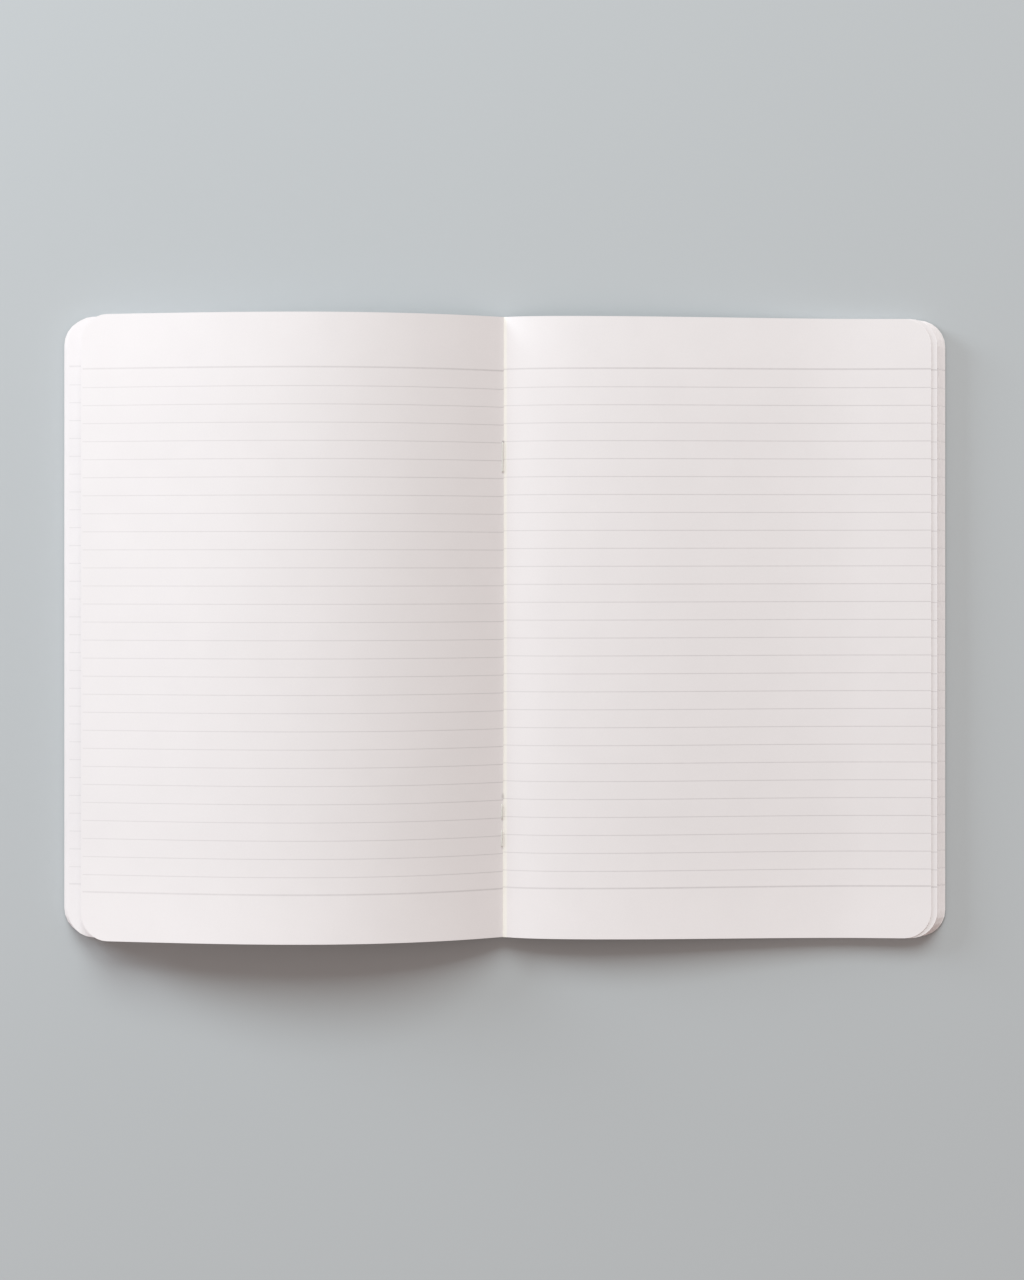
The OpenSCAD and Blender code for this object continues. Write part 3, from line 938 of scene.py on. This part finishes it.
def twistedThreadTree(t):
    # A yarn of several strands: a lobed section swept along the route while it turns
    tree, given = newTree("twistedThread", "Thread", {
        "Geometry": ("Route",), "Float": ("Radius", "Twist", "Strands", "Groove", "Step"),
        "Material": ("Material",)})
    even = addNode(tree, "GeometryNodeResampleCurve", {
        "Curve": given["Route"], "Length": given["Step"]}, mode="LENGTH")
    way = addNode(tree, "GeometryNodeSplineParameter").outputs["Length"]
    turns = addNode(tree, "ShaderNodeMath", {0: way, 1: given["Twist"]}, operation="DIVIDE")
    angle = addNode(tree, "ShaderNodeMath", {0: turns, 1: 2 * math.pi}, operation="MULTIPLY")
    twisted = addNode(tree, "GeometryNodeSetCurveTilt", {"Curve": even, "Tilt": angle})
    circle = addNode(tree, "GeometryNodeCurvePrimitiveCircle", {
        "Resolution": t["sides"], "Radius": given["Radius"]})
    around = addNode(tree, "GeometryNodeSplineParameter").outputs["Factor"]
    lobes = addNode(tree, "ShaderNodeMath", {0: around, 1: given["Strands"]}, operation="MULTIPLY")
    lobeAngle = addNode(tree, "ShaderNodeMath", {0: lobes, 1: 2 * math.pi}, operation="MULTIPLY")
    swell = addNode(tree, "ShaderNodeMath", {0: lobeAngle}, operation="COSINE")
    depth = addNode(tree, "ShaderNodeMath", {0: swell, 1: given["Groove"]}, operation="MULTIPLY")
    inward = addNode(tree, "ShaderNodeMath", {0: depth, 1: given["Groove"]}, operation="SUBTRACT")
    scale = addNode(tree, "ShaderNodeMath", {0: inward, 1: 1.0}, operation="ADD")
    place = addNode(tree, "GeometryNodeInputPosition")
    lobed = addNode(tree, "ShaderNodeVectorMath", {0: place, "Scale": scale}, operation="SCALE")
    section = addNode(tree, "GeometryNodeSetPosition", {"Geometry": circle, "Position": lobed})
    swept = addNode(tree, "GeometryNodeCurveToMesh", {
        "Curve": twisted, "Profile Curve": section, "Fill Caps": True})
    smooth = addNode(tree, "GeometryNodeSetShadeSmooth", {"Geometry": swept})
    finished = addNode(tree, "GeometryNodeSetMaterial", {"Geometry": smooth, "Material": given["Material"]})
    addNode(tree, "NodeGroupOutput", {0: finished})
    return tree


def makeThread(t):
    holder = curveObject("threadRoute", [roundedRoute(threadRoute(t), t["bend"], t["bendSteps"])])
    piece = runTree(holder, twistedThreadTree(t), {
        "Radius": t["width"] / 2 * mm, "Twist": t["twist"] * mm, "Strands": float(t["strands"]),
        "Groove": t["groove"], "Step": t["step"] * mm, "Material": cotton}, "twisted_thread")
    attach(piece, "book_block")
    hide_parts("sewing_thread")


makeThread(thread)

# Floor and light: a soft window above and to the left, and a pale room around

room = {
    "floor": "#c3c6c8",
    "floorFinish": {"Roughness": 0.9, "Specular IOR Level": 0.0},
    "floorSize": 30.0,
    "floorFade": (0.55, 1.5),  # from here to here the floor passes into the backdrop
    "backdrop": "#c6cccf",
    "world": "#ffefe8",
    "worldStrength": 0.42,
    # Place, size, power and colour
    "windowLight": ((-0.3, 2.2, 2.1), 1.7, 62.5, "#f1fdff"),
    "lowLight": ((-1.5, 0.8, 0.5), 0.6, 19.0, "#e9f6ff"),
}


def floorTree():
    # The floor lies under the lower of the two covers, also where they hang down
    tree, given = newTree("floorUnderCovers", "Floor", {
        "Geometry": ("Floor",), "Object": ("Front Cover", "Back Cover"), "Float": ("Cover Reach",)})
    lowest = 0.0
    for name, side in (("Front Cover", -1.0), ("Back Cover", 1.0)):
        reach = addNode(tree, "ShaderNodeMath", {0: given["Cover Reach"], 1: side}, operation="MULTIPLY")
        edge = addNode(tree, "ShaderNodeCombineXYZ", {0: reach})
        moved = addNode(tree, "GeometryNodeObjectInfo", {"Object": given[name]}).outputs["Transform"]
        place = addNode(tree, "FunctionNodeTransformPoint", {"Vector": edge, "Transform": moved})
        height = addNode(tree, "ShaderNodeSeparateXYZ", {0: place}).outputs["Z"]
        lowest = addNode(tree, "ShaderNodeMath", {0: lowest, 1: height}, operation="MINIMUM")
    down = addNode(tree, "ShaderNodeCombineXYZ", {2: lowest})
    lowered = addNode(tree, "GeometryNodeSetPosition", {"Geometry": given["Floor"], "Offset": down})
    addNode(tree, "NodeGroupOutput", {0: lowered})
    return tree


def paintedBoard(r):
    # Matt painted board, rolled: plain and even
    board, tree, shader, place = newMaterial("paintedBoard", r["floorFinish"])
    shader.inputs["Base Color"].default_value = linearColour(r["floor"])
    onFloor = addNode(tree, "ShaderNodeVectorMath", {0: place, 1: (1, 1, 0)}, operation="MULTIPLY")
    fromBook = addNode(tree, "ShaderNodeVectorMath", {0: onFloor}, operation="LENGTH").outputs["Value"]
    near, far = r["floorFade"]
    fade = addNode(tree, "ShaderNodeMapRange", {
        "Value": fromBook, "From Min": near, "From Max": far}, interpolation_type="SMOOTHSTEP")
    seen = addNode(tree, "ShaderNodeLightPath").outputs["Is Camera Ray"]
    faded = addNode(tree, "ShaderNodeMath", {0: fade, 1: seen}, operation="MULTIPLY")
    clear = addNode(tree, "ShaderNodeBsdfTransparent")
    both = addNode(tree, "ShaderNodeMixShader", {0: faded, 1: shader, 2: clear})
    tree.links.new(both.outputs[0], tree.nodes["Material Output"].inputs["Surface"])
    return board


def makeFloor(r):
    half = r["floorSize"] / 2
    corners = [(-half, -half, 0), (half, -half, 0), (half, half, 0), (-half, half, 0)]
    mesh = bpy.data.meshes.new("floor")
    mesh.from_pydata(corners, [], [(0, 1, 2, 3)])
    mesh.materials.append(paintedBoard(r))
    floor = newObject("floor", mesh)
    lower = floor.modifiers.new("underCovers", "NODES")
    lower.node_group = floorTree()
    giveInputs(lower, {
        "Front Cover": frame["bodies"]["front_cover"], "Back Cover": frame["bodies"]["back_cover"],
        "Cover Reach": coverEdge * mm})


def makeLight(r):
    world = bpy.data.worlds.new("paleRoom")
    world.use_nodes = True
    tree = world.node_tree
    lit = tree.nodes["Background"]
    lit.inputs["Color"].default_value = linearColour(r["world"])
    lit.inputs["Strength"].default_value = r["worldStrength"]
    backdrop = addNode(tree, "ShaderNodeBackground", {"Color": linearColour(r["backdrop"])})
    seen = addNode(tree, "ShaderNodeLightPath").outputs["Is Camera Ray"]
    both = addNode(tree, "ShaderNodeMixShader", {0: seen, 1: lit, 2: backdrop})
    tree.links.new(both.outputs[0], tree.nodes["World Output"].inputs["Surface"])
    bpy.context.scene.world = world
    for name in ("windowLight", "lowLight"):
        place, size, power, colour = r[name]
        light = bpy.data.lights.new(name, "AREA")
        light.shape = "SQUARE"
        light.size = size
        light.energy = power
        light.color = linearColour(colour)[:3]
        lamp = newObject(name, light)
        lamp.location = place
        lamp.rotation_euler = (-lamp.location).to_track_quat("-Z", "Y").to_euler()


makeFloor(room)
makeLight(room)
bpy.context.scene.view_settings.view_transform = "Standard"
print("room lit")
